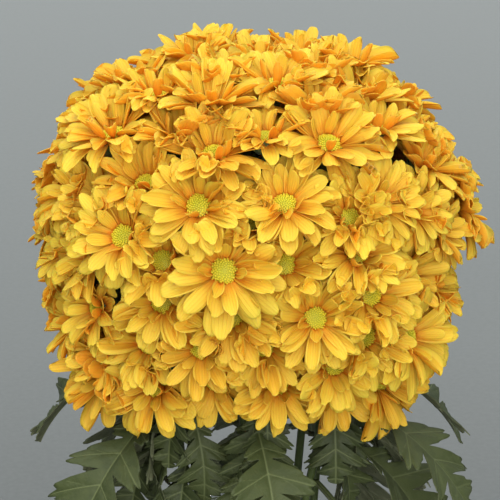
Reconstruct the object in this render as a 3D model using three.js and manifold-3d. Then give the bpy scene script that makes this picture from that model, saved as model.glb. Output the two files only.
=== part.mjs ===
// Chrysanthemums in a jar: eight sprays of yellow daisy chrysanthemums in a plain glass jar of water.
// Millimetres, +Z up. The origin is the middle of the jar's underside, and the front looks along -Y.
// A bearing is measured from the front, -Y, and grows towards +X.

import * as THREE from 'three';
import { mergeVertices } from 'three/addons/utils/BufferGeometryUtils.js';
import Module from 'manifold-3d';

// ---- Driving dimensions ----

// The jar and its water
const JAR_DIAMETER = 110;
const JAR_HEIGHT = 180;
const JAR_WALL = 3.5;
const JAR_BASE = 7;
const JAR_FOOT_ROUND = 6;
const JAR_FLOOR_ROUND = 5;
const JAR_RIM_SWELL = 1.4;
const JAR_RIM_DEPTH = 7;
const WATER_DEPTH = 104;

// The head of blooms, measured to the bloom centres
const HEAD_HALF_WIDTH = 105;
const HEAD_HALF_DEPTH = 93;
const HEAD_HALF_HEIGHT = 94;
const HEAD_SQUARENESS = 2.4;
const HEAD_PLAN_SQUARENESS = 2.6;
const HEAD_ABOVE_RIM = 192;
const HEAD_LOWEST_LEVEL = -0.78;

// How blooms turn up to the light, in degrees: the upward look of one on an upright part of the head, the
// slope of the head at which blooms look straight up, and how much of an overhang's slope a bloom follows
const UPRIGHT_LOOK = 22;
const SLOPE_OF_CROWN = 58;
const LOOK_EASING = 0.95;
const OVERHANG_FOLLOWED = 0.42;

// A bloom is turned from these points, each a radius and a height as shares of the bloom's diameter
const BLOOM_DIAMETER = 54;
const CALYX_DEPTH = 0.2;
const CALYX_SHOULDER = [0.14, -0.05];
const BOWL_RIM = [0.44, 0.23];
const PETAL_BASE = [0.16, 0.045];
const DISC_CROWN = 0.095;

// Stems and stalks
const STEM_DIAMETER = 5.6;
const STALK_DIAMETER = 2.6;
const STEM_FOOT_RADIUS = 35;
const STEM_MOUTH_RADIUS = 37;
const STEM_TWIST = 78;
const SHOULDER_SWELL = 3;
const STALKS_START_AT = 0.86;
const STALK_BEND = 0.3;
const STALK_IN_CALYX = 0.6;

// Leaves
const LEAF_LENGTH = 96;
const LEAF_WIDTH = 64;
const LEAF_THICKNESS = 1.2;
const LEAF_STALK_LENGTH = 22;
const LEAF_STALK_WIDTH = 3.4;
const LEAVES_PER_ROW = 7;
const UPPER_LEAVES_ABOVE_BLOOMS_BOTTOM = 5;

// How far copies differ from each other: least and most
const FILL_PROUD = [-5, 6];
const FILL_SIZE = [0.86, 1.06];
const FILL_TILT = [-10, 10];
const LEAF_SIZE = [0.86, 1.06];
const LEAF_BEARING = [-3, 3];
const LEAF_HEIGHT = [-4, 4];
const LEAF_LEAN = [-4, 4];
const LEAF_ROLL = [-10, 10];
const BLOOM_SEED = 7;
const LEAF_SEED = 19;

// Fits: free space between neighbouring pieces, and between the water and the stems
const CLEARANCE = 0.3;
const BLOOM_CLEARANCE = 0.8;

// ---- Derived places ----

const JAR_RADIUS = JAR_DIAMETER / 2;
const JAR_INNER_RADIUS = JAR_RADIUS - JAR_WALL;
const HEAD_MIDDLE = JAR_HEIGHT + HEAD_ABOVE_RIM;
const BLOOMS_BOTTOM = HEAD_MIDDLE + HEAD_HALF_HEIGHT * HEAD_LOWEST_LEVEL - BLOOM_DIAMETER * BOWL_RIM[0];
const UPPER_LEAVES_HEIGHT = BLOOMS_BOTTOM + UPPER_LEAVES_ABOVE_BLOOMS_BOTTOM;
const STEM_RADIUS = STEM_DIAMETER / 2;
const STALK_RADIUS = STALK_DIAMETER / 2;

// ---- Numbers of facets ----

const JAR_FACETS = 40;
const BLOOM_FACETS = 7;
const STEM_FACETS = 6;
const STALK_FACETS = 4;
const STEM_STEPS = 10;
const STALK_STEPS = 3;

// ---- Where things stand ----

// Each stem ends inside the head: its bearing there, and its reach and level as shares of the head's half
// sizes. The list goes round the jar in the order in which the stems stand in its mouth.
const STEM_TOPS = [
  { bearing: 0, reach: 0.5, level: -0.44 },
  { bearing: 58, reach: 0.5, level: -0.42 },
  { bearing: 92, reach: 0.2, level: 0.16 },
  { bearing: 122, reach: 0.5, level: -0.4 },
  { bearing: 180, reach: 0.5, level: -0.44 },
  { bearing: 238, reach: 0.5, level: -0.42 },
  { bearing: 268, reach: 0.2, level: 0.16 },
  { bearing: 302, reach: 0.5, level: -0.4 },
];

// The blooms of the front and the crown: bearing, level as a share of the head's half height, how far each
// stands proud, its size as a share of a middling bloom, and how much further up than others it looks.
const FRONT_BLOOMS = [
  [-4, 0.13, 12, 1.16, 0],
  [14, -0.17, 8, 1.02, 4],
  [2, -0.35, 3, 0.93, 0],
  [6, -0.64, 8, 0.97, 10],
  [22, -0.5, 6, 0.98, 0],
  [-10, -0.37, 5, 0.95, 6],
  [-8, -0.62, 1, 0.88, 0],
  [-30, -0.7, 9, 1.05, 8],
  [-56, -0.7, 8, 1.16, 14],
  [56, -0.76, 8, 1.16, 4],
  [50, -0.42, 9, 1.08, 0],
  [32, -0.06, 5, 1, 0],
  [40, 0.46, 3, 0.9, -10],
  [27, 0.42, 2, 0.9, -14],
  [57, 0.36, 3, 0.9, -6],
  [0, 0.42, 0, 0.9, 6],
  [-11, 0.48, 6, 1.12, 0],
  [7, 0.5, 4, 1, 0],
  [28, 0.77, 4, 1.06, -10],
  [80, 0.48, 3, 0.96, 10],
  [-9, 0.74, 4, 1.04, -8],
  [-20, 0.93, 3, 1.04, 0],
  [-62, 0.72, 6, 1.12, 0],
  [-35, 0.28, 5, 1.06, 0],
  [-21, 0.18, 1, 0.98, 8],
  [-21, -0.08, 2, 0.96, 0],
  [28, 0.2, 2, 0.98, 10],
  [90, 0.1, 14, 1.04, -8],
];
const SINGLE_BLOOMS = 29;
const ALL_BLOOMS = 116;

// Leaves hang in rows, each leaf from the stem nearest to it. A row's drop below the upper row is a share of
// a leaf's length. All angles are in degrees, and a slope is downward.
const LEAF_ROWS = [
  { name: 'lower', drop: 0.54, turn: -8, startSlope: 28, endSlope: 94 },
  { name: 'middle', drop: 0.25, turn: 26, startSlope: 20, endSlope: 82 },
  { name: 'upper', drop: 0, turn: 12, startSlope: 8, endSlope: 68 },
];

// Half of a leaf's edge from its stalk to its tip: shares of the leaf's length and of its width.
const LEAF_EDGE = [
  [0, 0.03], [0.1, 0.07], [0.2, 0.34], [0.32, 0.38], [0.38, 0.17], [0.48, 0.5], [0.62, 0.46],
  [0.65, 0.2], [0.76, 0.32], [0.87, 0.26], [0.95, 0.12], [1, 0],
];

// ---- Materials ----

const material = (color, roughness, options = {}) =>
  new THREE.MeshStandardMaterial({ color, roughness, metalness: 0, ...options });

const GLASS = material(0xe4eeec, 0.06, { transparent: true, opacity: 0.3 });
const WATER = material(0xd9e6de, 0.04, { transparent: true, opacity: 0.4 });
const GREEN_STEM = material(0x54672f, 0.6);
const GREEN_LEAF = material(0x39451f, 0.65);
const PETAL_YELLOW = material(0xe9b32c, 0.55);

// ---- Helpers ----

const wasm = await Module();
wasm.setup();

const radians = THREE.MathUtils.degToRad;
const UP = new THREE.Vector3(0, 0, 1);

// A small seeded generator, so that the differences between copies are the same every time.
function makeRandom(seed) {
  const range = 2 ** 32;
  let state = seed;
  return ([low, high]) => {
    state = (state * 1664525 + 1013904223) % range;
    return low + (high - low) * (state / range);
  };
}

// A point at a bearing and distance from the jar's axis, at height z.
function atBearing(bearing, distance, z) {
  const angle = radians(bearing);
  return new THREE.Vector3(distance * Math.sin(angle), -distance * Math.cos(angle), z);
}

// A closed geometry becomes a solid that can be joined and cut.
function solidOf(geometry) {
  const bare = geometry.clone();
  bare.deleteAttribute('normal');
  bare.deleteAttribute('uv');
  const merged = mergeVertices(bare, 1e-4);
  const corners = merged.index.array;
  const kept = [];
  for (let i = 0; i < corners.length; i += 3) {
    const [a, b, c] = [corners[i], corners[i + 1], corners[i + 2]];
    if (a !== b && b !== c && c !== a) kept.push(a, b, c);
  }
  const mesh = new wasm.Mesh({
    numProp: 3,
    vertProperties: new Float32Array(merged.attributes.position.array),
    triVerts: new Uint32Array(kept),
  });
  return new wasm.Manifold(mesh);
}

function geometryOf(solid) {
  const mesh = solid.getMesh();
  const geometry = new THREE.BufferGeometry();
  geometry.setAttribute('position', new THREE.BufferAttribute(mesh.vertProperties, 3));
  geometry.setIndex(new THREE.BufferAttribute(mesh.triVerts, 1));
  geometry.computeVertexNormals();
  return geometry;
}

// A solid turned about +Z from a profile of radius and height pairs.
function turned(profile, facets) {
  const points = profile.map(([radius, height]) => new THREE.Vector2(radius, height));
  return new THREE.LatheGeometry(points, facets).rotateX(Math.PI / 2);
}

// Points of a quarter round from one angle to another, for a turned profile.
function round(centreRadius, centreHeight, radius, fromAngle, toAngle, steps) {
  const points = [];
  for (let i = 0; i <= steps; i += 1) {
    const angle = radians(fromAngle + ((toAngle - fromAngle) * i) / steps);
    points.push([centreRadius + radius * Math.cos(angle), centreHeight + radius * Math.sin(angle)]);
  }
  return points;
}

// A solid rod of even thickness along a curve.
function rod(curve, radius, facets, steps) {
  const section = new THREE.Shape();
  for (let i = 0; i < facets; i += 1) {
    const angle = (2 * Math.PI * i) / facets;
    const x = radius * Math.cos(angle);
    const y = radius * Math.sin(angle);
    if (i === 0) section.moveTo(x, y);
    else section.lineTo(x, y);
  }
  section.closePath();
  return new THREE.ExtrudeGeometry(section, { steps, bevelEnabled: false, extrudePath: curve });
}

function addMesh(parent, name, geometry, look) {
  const mesh = new THREE.Mesh(geometry, look.clone());
  mesh.name = name;
  parent.add(mesh);
  return mesh;
}

const twoDigits = (number) => String(number).padStart(2, '0');

// ---- Jar and water ----

function jarGeometry() {
  const foot = round(JAR_RADIUS - JAR_FOOT_ROUND, JAR_FOOT_ROUND, JAR_FOOT_ROUND, -90, 0, 3);
  const lipRadius = (JAR_WALL + JAR_RIM_SWELL) / 2;
  const lipMiddle = JAR_INNER_RADIUS + lipRadius;
  const lip = round(lipMiddle, JAR_HEIGHT - lipRadius, lipRadius, 0, 180, 4);
  const floorMiddle = JAR_INNER_RADIUS - JAR_FLOOR_ROUND;
  const floor = round(floorMiddle, JAR_BASE + JAR_FLOOR_ROUND, JAR_FLOOR_ROUND, 0, -90, 2);
  return turned([
    [0, 0],
    ...foot,
    [JAR_RADIUS, JAR_HEIGHT - JAR_RIM_DEPTH],
    ...lip,
    ...floor,
    [0, JAR_BASE],
  ], JAR_FACETS);
}

function waterGeometry(stems) {
  const radius = JAR_INNER_RADIUS - CLEARANCE;
  const bottom = JAR_BASE + CLEARANCE;
  const level = bottom + WATER_DEPTH;
  const corner = JAR_FLOOR_ROUND - CLEARANCE;
  const floor = round(radius - corner, bottom + corner, corner, -90, 0, 2);
  let water = solidOf(turned([[0, bottom], ...floor, [radius, level], [0, level]], JAR_FACETS));
  const sleeveRadius = (STEM_RADIUS + CLEARANCE) / Math.cos(Math.PI / STEM_FACETS);
  for (const stem of stems) {
    const sleeve = rod(stem.curve, sleeveRadius, STEM_FACETS, STEM_STEPS);
    water = water.subtract(solidOf(sleeve));
    const below = stem.foot.clone().addScaledVector(stem.curve.getTangentAt(0), -JAR_BASE);
    const foot = rod(new THREE.LineCurve3(below, stem.foot), sleeveRadius, STEM_FACETS, 1);
    water = water.subtract(solidOf(foot));
  }
  return geometryOf(water);
}

// ---- The shape of the head ----

const headShare = (level) => (1 - Math.abs(level) ** HEAD_SQUARENESS) ** (1 / HEAD_SQUARENESS);

// Seen from above the head is a rounded oblong, and this is the power of a sine or cosine that draws it.
const squared = (value) => Math.sign(value) * Math.abs(value) ** (2 / HEAD_PLAN_SQUARENESS);

function headPoint(bearing, level) {
  const angle = radians(bearing);
  const share = headShare(Math.min(1, level));
  return new THREE.Vector3(
    HEAD_HALF_WIDTH * share * squared(Math.sin(angle)),
    -HEAD_HALF_DEPTH * share * squared(Math.cos(angle)),
    HEAD_MIDDLE + HEAD_HALF_HEIGHT * level,
  );
}

// Blooms look outward, and turn up to the light: level ones look a little up, and high ones straight up.
function gaze(point, tilt) {
  const across = Math.hypot(point.x / HEAD_HALF_WIDTH ** 2, point.y / HEAD_HALF_DEPTH ** 2);
  const level = (point.z - HEAD_MIDDLE) / HEAD_HALF_HEIGHT;
  const spread = Math.max(1e-6, Math.hypot(point.x / HEAD_HALF_WIDTH, point.y / HEAD_HALF_DEPTH));
  const outward = (across / spread) * spread ** (HEAD_SQUARENESS - 1);
  const upward = (Math.sign(level) * Math.abs(level) ** (HEAD_SQUARENESS - 1)) / HEAD_HALF_HEIGHT;
  const slope = THREE.MathUtils.radToDeg(Math.atan2(upward, outward));
  const steepness = Math.min(1, Math.max(0, slope) / SLOPE_OF_CROWN) ** LOOK_EASING;
  const upturn = (90 - UPRIGHT_LOOK) * steepness;
  const elevation = UPRIGHT_LOOK + (slope < 0 ? OVERHANG_FOLLOWED * slope : upturn);
  const turn = radians(Math.min(90, elevation + tilt));
  const sideX = Math.sign(point.x) * Math.abs(point.x / HEAD_HALF_WIDTH) ** (HEAD_PLAN_SQUARENESS - 1);
  const sideY = Math.sign(point.y) * Math.abs(point.y / HEAD_HALF_DEPTH) ** (HEAD_PLAN_SQUARENESS - 1);
  const side = new THREE.Vector3(sideX / HEAD_HALF_WIDTH, sideY / HEAD_HALF_DEPTH, 0);
  if (side.length() < 1e-9) return UP.clone();
  return side.normalize().multiplyScalar(Math.cos(turn)).addScaledVector(UP, Math.sin(turn)).normalize();
}

function makeBloom(bearing, level, lift, size, tilt) {
  const point = headPoint(bearing, level);
  const axis = gaze(point, tilt);
  return { centre: point.addScaledVector(axis, lift), axis, diameter: BLOOM_DIAMETER * size };
}

// The chosen blooms come first. Each further bloom fills the widest bare place that is left on the head.
function arrangeBlooms() {
  const random = makeRandom(BLOOM_SEED);
  const blooms = FRONT_BLOOMS.map((entry) => makeBloom(...entry));
  const places = [];
  const goldenTurn = 180 * (3 - Math.sqrt(5));
  const triedPlaces = 900;
  for (let i = 0; i < triedPlaces; i += 1) {
    const bearing = (i * goldenTurn) % 360;
    const level = HEAD_LOWEST_LEVEL + ((1 - HEAD_LOWEST_LEVEL) * (i + 0.5)) / triedPlaces;
    places.push({ bearing, level, point: headPoint(bearing, level) });
  }
  const anchors = FRONT_BLOOMS.map(([bearing, level]) => headPoint(bearing, level));
  const fills = [];
  while (blooms.length + fills.length < ALL_BLOOMS) {
    let best = null;
    let bestRoom = -1;
    for (const place of places) {
      const room = Math.min(...anchors.map((anchor) => anchor.distanceTo(place.point)));
      if (room > bestRoom) {
        best = place;
        bestRoom = room;
      }
    }
    anchors.push(best.point);
    const proud = random(FILL_PROUD);
    const size = random(FILL_SIZE);
    fills.push(makeBloom(best.bearing, best.level, proud, size, random(FILL_TILT)));
  }
  fills.sort((one, other) => one.centre.y - other.centre.y);
  return [...blooms, ...fills];
}

// ---- Blooms ----

const BLOOM_PROFILE = [
  [0, -CALYX_DEPTH],
  CALYX_SHOULDER,
  BOWL_RIM,
  PETAL_BASE,
  [0, DISC_CROWN],
];
const BLOOM_REACH = Math.hypot(...BOWL_RIM);

// A block that takes away all that lies past a distance from the origin in one direction.
function blockBeyond(direction, distance) {
  const side = 4 * BLOOM_DIAMETER;
  const block = new THREE.BoxGeometry(side, side, side);
  block.translate(0, 0, distance + side / 2);
  block.applyQuaternion(new THREE.Quaternion().setFromUnitVectors(UP, direction));
  return solidOf(block);
}

// A bloom in its own frame, its centre at the origin and looking along +Z. Crowded blooms share the room
// between them in step with their sizes, so each is cut back where its neighbour's share begins.
function bloomSolid(bloom, blooms) {
  const scaled = BLOOM_PROFILE.map(([radius, height]) => [radius * bloom.diameter, height * bloom.diameter]);
  let solid = solidOf(turned(scaled, BLOOM_FACETS));
  const toOwnFrame = bloom.turn.clone().invert();
  for (const other of blooms) {
    if (other === bloom) continue;
    const way = other.centre.clone().sub(bloom.centre).applyQuaternion(toOwnFrame);
    const share = (way.length() * bloom.diameter) / (bloom.diameter + other.diameter);
    const room = share - BLOOM_CLEARANCE / 2;
    if (room > bloom.diameter * BLOOM_REACH) continue;
    solid = solid.subtract(blockBeyond(way.normalize(), room));
  }
  return solid;
}

// ---- Stems ----

function makeStem(index) {
  const top = STEM_TOPS[index];
  const bearing = (360 * index) / STEM_TOPS.length;
  const foot = atBearing(bearing - STEM_TWIST, STEM_FOOT_RADIUS, JAR_BASE + STEM_RADIUS);
  const mouth = atBearing(bearing, STEM_MOUTH_RADIUS, JAR_HEIGHT);
  const reachX = HEAD_HALF_WIDTH * top.reach;
  const reachY = HEAD_HALF_DEPTH * top.reach;
  const angle = radians(top.bearing);
  const level = HEAD_MIDDLE + HEAD_HALF_HEIGHT * top.level;
  const end = new THREE.Vector3(reachX * Math.sin(angle), -reachY * Math.cos(angle), level);
  const shoulder = mouth.clone().lerp(end, 0.5);
  shoulder.addScaledVector(atBearing(bearing, 1, 0), SHOULDER_SWELL);
  const curve = new THREE.CatmullRomCurve3([foot, mouth, shoulder, end], false, 'centripetal');
  return { number: index + 1, foot, curve, end, blooms: [] };
}

// The side stalk from a stem to a bloom, which comes up under the calyx in line with the bloom.
function stalkCurve(stem, bloom, rank, ending) {
  const start = stem.curve.getPointAt(STALKS_START_AT + (1 - STALKS_START_AT) * rank);
  const tip = bloom.centre.clone().addScaledVector(bloom.axis, -bloom.diameter * CALYX_DEPTH + ending);
  const bend = tip.clone().addScaledVector(bloom.axis, -STALK_BEND * tip.distanceTo(start));
  return new THREE.QuadraticBezierCurve3(start, bend, tip);
}

// A spray is one grown piece: a stem, its side stalks, and the blooms that stay joined to it.
function spraySolid(stem) {
  let spray = solidOf(rod(stem.curve, STEM_RADIUS, STEM_FACETS, STEM_STEPS));
  stem.blooms.sort((one, other) => one.centre.z - other.centre.z);
  stem.blooms.forEach((bloom, order) => {
    const rank = stem.blooms.length > 1 ? order / (stem.blooms.length - 1) : 1;
    const ending = bloom.single ? -CLEARANCE : bloom.diameter * CALYX_DEPTH * STALK_IN_CALYX;
    const stalk = rod(stalkCurve(stem, bloom, rank, ending), STALK_RADIUS, STALK_FACETS, STALK_STEPS);
    spray = spray.add(solidOf(stalk));
    if (bloom.single) return;
    const placed = geometryOf(bloom.solid);
    placed.applyQuaternion(bloom.turn);
    placed.translate(bloom.centre.x, bloom.centre.y, bloom.centre.z);
    spray = spray.add(solidOf(placed));
  });
  return spray;
}

// ---- Leaves ----

// A leaf in its own frame: its stalk starts at the origin, it grows along +X and droops towards -Z.
function leafGeometry(length, width, startSlope, endSlope) {
  const stalk = LEAF_STALK_WIDTH / 2;
  const half = [[0, stalk]];
  for (const [along, across] of LEAF_EDGE) {
    const halfWidth = along < 1 ? Math.max(stalk, across * width) : 0;
    half.push([LEAF_STALK_LENGTH + along * length, halfWidth]);
  }
  const outline = new THREE.Shape();
  half.forEach(([x, y], index) => {
    if (index === 0) outline.moveTo(x, y);
    else outline.lineTo(x, y);
  });
  [...half].reverse().slice(1).forEach(([x, y]) => outline.lineTo(x, -y));
  outline.closePath();
  const geometry = new THREE.ExtrudeGeometry(outline, { depth: LEAF_THICKNESS, bevelEnabled: false });
  const whole = LEAF_STALK_LENGTH + length;
  const start = radians(startSlope);
  const bend = radians(endSlope - startSlope) / whole;
  const places = geometry.attributes.position;
  for (let i = 0; i < places.count; i += 1) {
    const x = places.getX(i);
    const z = places.getZ(i);
    const slope = start + bend * x;
    const along = (Math.sin(slope) - Math.sin(start)) / bend;
    const drop = (Math.cos(start) - Math.cos(slope)) / bend;
    places.setXYZ(i, along + z * Math.sin(slope), places.getY(i), -drop + z * Math.cos(slope));
  }
  return geometry;
}

function makeLeaves(stems) {
  const random = makeRandom(LEAF_SEED);
  const leaves = [];
  for (const row of LEAF_ROWS) {
    for (let i = 0; i < LEAVES_PER_ROW; i += 1) {
      const bearing = row.turn + (360 * i) / LEAVES_PER_ROW + random(LEAF_BEARING);
      const outward = atBearing(bearing, 1, 0);
      const height = UPPER_LEAVES_HEIGHT - row.drop * LEAF_LENGTH + random(LEAF_HEIGHT);
      const starts = stems.map((stem) => placeAtHeight(stem.curve, height));
      const { start, way } = starts.reduce((one, other) =>
        (one.start.dot(outward) >= other.start.dot(outward) ? one : other));
      const uprightness = Math.sqrt(1 - way.dot(outward) ** 2);
      start.addScaledVector(outward, (STEM_RADIUS + CLEARANCE + LEAF_STALK_WIDTH / 2) / uprightness);
      const size = random(LEAF_SIZE);
      const lean = random(LEAF_LEAN);
      const slopes = [row.startSlope + lean, row.endSlope + lean];
      const blade = leafGeometry(LEAF_LENGTH * size, LEAF_WIDTH * size, ...slopes);
      const name = `leaf_${row.name}_${twoDigits(i + 1)}`;
      leaves.push({ name, start, bearing, roll: random(LEAF_ROLL), blade });
    }
  }
  return leaves;
}

// Where a rising curve passes a height, and its way there, by halving the stretch that holds the place.
function placeAtHeight(curve, height) {
  const halvings = 24;
  let low = 0;
  let high = 1;
  for (let i = 0; i < halvings; i += 1) {
    const middle = (low + high) / 2;
    if (curve.getPointAt(middle).z < height) low = middle;
    else high = middle;
  }
  return { start: curve.getPointAt(low), way: curve.getTangentAt(low) };
}

// ---- Assembly ----

const arrangement = new THREE.Group();

const stems = STEM_TOPS.map((top, index) => makeStem(index));
const blooms = arrangeBlooms();
blooms.forEach((bloom, index) => {
  bloom.single = index < SINGLE_BLOOMS;
  bloom.turn = new THREE.Quaternion().setFromUnitVectors(UP, bloom.axis);
  const nearest = stems.reduce((one, other) =>
    (bloom.centre.distanceTo(one.end) <= bloom.centre.distanceTo(other.end) ? one : other));
  nearest.blooms.push(bloom);
});
for (const bloom of blooms) {
  bloom.solid = bloomSolid(bloom, blooms);
}

addMesh(arrangement, 'glass_jar', jarGeometry(), GLASS);
addMesh(arrangement, 'water', waterGeometry(stems), WATER);

for (const stem of stems) {
  addMesh(arrangement, `spray_${twoDigits(stem.number)}`, geometryOf(spraySolid(stem)), GREEN_STEM);
}

const flowerHeads = new THREE.Group();
arrangement.add(flowerHeads);
blooms.slice(0, SINGLE_BLOOMS).forEach((bloom, index) => {
  const head = addMesh(flowerHeads, `bloom_${twoDigits(index + 1)}`, geometryOf(bloom.solid), PETAL_YELLOW);
  head.position.copy(bloom.centre);
  head.quaternion.copy(bloom.turn);
});

const foliage = new THREE.Group();
arrangement.add(foliage);
for (const leaf of makeLeaves(stems)) {
  const mesh = addMesh(foliage, leaf.name, leaf.blade, GREEN_LEAF);
  mesh.position.copy(leaf.start);
  mesh.rotation.order = 'ZYX';
  mesh.rotation.set(radians(leaf.roll), 0, radians(leaf.bearing - 90));
}

export default arrangement;
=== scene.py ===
import math

import bpy
import numpy as np
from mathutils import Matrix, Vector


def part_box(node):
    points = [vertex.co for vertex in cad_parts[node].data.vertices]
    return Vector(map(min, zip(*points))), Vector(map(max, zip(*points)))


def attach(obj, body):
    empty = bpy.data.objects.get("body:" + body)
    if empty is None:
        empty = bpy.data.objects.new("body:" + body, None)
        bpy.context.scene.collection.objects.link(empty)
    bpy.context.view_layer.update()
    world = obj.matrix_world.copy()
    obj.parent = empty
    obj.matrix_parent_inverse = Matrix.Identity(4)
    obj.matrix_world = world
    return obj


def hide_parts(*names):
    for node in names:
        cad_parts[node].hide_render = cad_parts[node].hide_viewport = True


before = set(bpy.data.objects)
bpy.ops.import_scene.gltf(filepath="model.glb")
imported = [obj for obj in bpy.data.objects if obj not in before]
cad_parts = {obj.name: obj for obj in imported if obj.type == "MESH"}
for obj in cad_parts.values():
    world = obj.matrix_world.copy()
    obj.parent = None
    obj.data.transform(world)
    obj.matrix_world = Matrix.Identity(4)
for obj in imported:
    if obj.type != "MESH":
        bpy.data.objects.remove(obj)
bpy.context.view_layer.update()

# Chrysanthemums in a jar: petals, discs, calyxes, stems, leaves, glass and water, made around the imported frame.
# Metres, +Z up, front along -Y. Sizes of a bloom are shares of its diameter, which the frame's own blooms give.

SEED = 11
random = np.random.default_rng(SEED)

# How the frame's blooms are drawn: a flat ring round each disc's crown keeps at least this many of its corners. It
# has this radius and this drop below the crown, and the crown stands this far above the bloom's centre.
CROWN_CORNERS_LEFT = 5
CROWN_RING = 0.16
CROWN_DROP = 0.05
CROWN_HEIGHT = 0.095
CALYX_TIP = -0.2

# Blooms nearer than this share of a diameter share the room between them. A bloom's proudness is how far it stands
# out from those within NEIGHBOURS_WITHIN.
# Blooms that stand back from their neighbours get a more orange tone, which is painted shade, and proud ones a
# yellower tone.
ROOM_SHARED_WITHIN = 0.62
NEIGHBOURS_WITHIN = 0.06
BLOOM_TONE_RANGE = (0, 0.9)
TONE_PER_PROUDNESS = 45
SHADE_FREE_PROUDNESS = 0.003

# Petals: three rows, from the outside in. Sizes are shares of the bloom's diameter, and slopes are in degrees above
# the bloom's own plane. Sag is how far a petal that points down hangs on a bloom that faces up.
PETAL_ROWS = [
    {"count": (15, 18), "length": 0.455, "width": 0.178, "start": 24, "end": 4, "base": 0.115, "height": -0.005,
     "sag": 52},
    {"count": (11, 14), "length": 0.4, "width": 0.165, "start": 38, "end": 22, "base": 0.11, "height": 0.015,
     "sag": 24},
    {"count": (4, 7), "length": 0.27, "width": 0.115, "start": 60, "end": 70, "base": 0.11, "height": 0.03,
     "sag": 0},
]
PETAL_LONG_STEPS = 10
PETAL_CROSS_STEPS = 6
PETAL_THICKNESS = 0.00035

# A petal rises by the first of these lifts, in degrees, that keeps it in its bloom's room. A bold petal may pass out
# of it a little, and more so on a proud bloom.
PETAL_LIFTS = np.arange(0, 66, 3)
LIFT_AT_FOOT = 0.75
BOLDNESS = 0.003
BOLDNESS_PER_PROUDNESS = 0.55
BOLD_FROM_PROUDNESS = 0.004
SAG_AT_FOOT = 0.4
SAG_UNTIL_UPWARD = 0.25

# How petals of one row differ: spreads are one standard deviation, and pairs are limits.
BEARING_SPREAD = 0.13
LENGTH_SPREAD = 0.07
LENGTH_LIMITS = (0.8, 1.12)
WIDTH_SPREAD = 0.1
WIDTH_LIMITS = (0.75, 1.2)
START_SPREAD = 6
END_SPREAD = 13
HEIGHT_SPREAD = 0.006
CUP_MEAN = 0.12
CUP_SPREAD = 0.14
GROOVE_LIMITS = (0.03, 0.07)
TWIST_SPREAD = 0.28
SWAY_SPREAD = 0.05
NOTCHED_PETALS = 0.3
NOTCH_LIMITS = (0.02, 0.05)
TIP_ROUNDING_LIMITS = (0.05, 0.13)
# A petal's tone is partly random and partly its bloom's, which carries painted shade on blooms that stand back.
TONE_FROM_BLOOM = 0.65

# Discs: a low dome covered with florets, which stand in a spiral.
DISC_RADIUS = 0.13
DISC_FOOT = 0.012
DISC_HEIGHT = 0.045
DISC_ROUNDNESS = 2.2
DISC_FLORETS = 120
SPIRAL_TURN = 2.39996
FLORET_SIDES = 5
FLORET_FILL = 0.88
DOME_SIDES = 20
DOME_BELOW_FLORETS = 0.0005

# Calyxes: a cup under each bloom, with two rows of bracts on it.
CALYX_RADIUS = 0.15
CALYX_SIDES = 16
BRACT_STEPS = 5
BRACT_THICKNESS = 0.00036
BRACT_LIFT_AT_TIP = 0.0012
BRACT_ROWS = [
    {"count": 12, "low": 0.22, "high": 0.78, "lift": 0.0006, "width": 0.085},
    {"count": 13, "low": 0.42, "high": 1.06, "lift": 0.0004, "width": 0.08},
]

# Stems: how the frame draws them, and where and how their side stalks leave them.
STEM_FACETS = 6
STEM_RINGS = 11
STEM_RADIUS = 0.0028
STEM_SIDES = 16
STEM_STEPS = 90
STALKS_START_AT = 0.86
STALK_BEND = 0.3
STALK_RADIUS = 0.0013
STALK_SIDES = 8
STALK_STEPS = 9
BRACTS_ALONG_STALK = (0.45, 0.8)
STALK_BRACT_LENGTH = (0.009, 0.017)
STALK_BRACT_STEPS = 6
STALK_BRACT_THICKNESS = 0.0005
NO_VEIN_NEAR = 3.0

# Leaves: a stalk, then a blade with lobes. Each lobe has a place along the blade, a half length and a reach.
LEAF_STALK_SHARE = 0.19
LEAF_LOBES = [(0.12, 0.075, 0.46), (0.32, 0.115, 0.9), (0.56, 0.115, 1.0), (0.78, 0.1, 0.64), (0.93, 0.07, 0.3)]
LEAF_BODY = 0.17
LEAF_SWEEP = 0.62
LEAF_TEETH = 15
LEAF_TOOTH_DEPTH = 0.2
LEAF_STALK_STEPS = 8
LEAF_BLADE_STEPS = 84
LEAF_CROSS_STEPS = 22
LEAF_THICKNESS = 0.0006
LEAF_STALK_HALF_WIDTH = 0.0014
LEAF_STALK_THICKNESS = 0.0024
LEAF_FOLD_LIMITS = (0.04, 0.34)
LEAF_WAVE_LIMITS = (0.002, 0.0045)
LEAF_WAVES = 2.6
LEAF_TWIST_SPREAD = 0.3
LEAF_HANG_LIMITS = (0.0, 0.5)
LEAF_HANG = 0.4
FORK_SLOPE = 0.42
FORK_START = 0.2
VEIN_DEPTH = 0.0007
VEIN_HALF_WIDTH = 2.5
MIDRIB_HEIGHT = 0.0016
MIDRIB_HALF_WIDTH = 0.0011

# Young leaves: for each stem, the turn from straight out in degrees and the drop of each.
YOUNG_LEAVES = [(0, 0.0), (-62, 0.007), (58, 0.014), (-18, 0.024), (28, 0.034), (-38, 0.003)]
YOUNG_LEAF_TOP = -0.004
YOUNG_LEAF_LENGTH = (0.048, 0.074)
YOUNG_LEAF_SLOPE = (26, 52)
YOUNG_LEAF_BEND = (38, 70)
YOUNG_LEAF_SHAPE = 0.3
YOUNG_LEAF_TURN_SPREAD = 8
YOUNG_LEAF_DROP_SPREAD = 0.002

# The jar's outline comes from its node, apart from its rounded edges. The water passes a little into the glass, so
# that no film of air is left between them.
JAR_SIDES = 128
JAR_FOOT_ROUND = 0.006
JAR_FLOOR_ROUND = 0.005
JAR_FLOOR_DISH = 0.0006
JAR_WAVER = 0.0003
WATER_INTO_GLASS = 0.00015
MENISCUS = 0.0014

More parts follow.
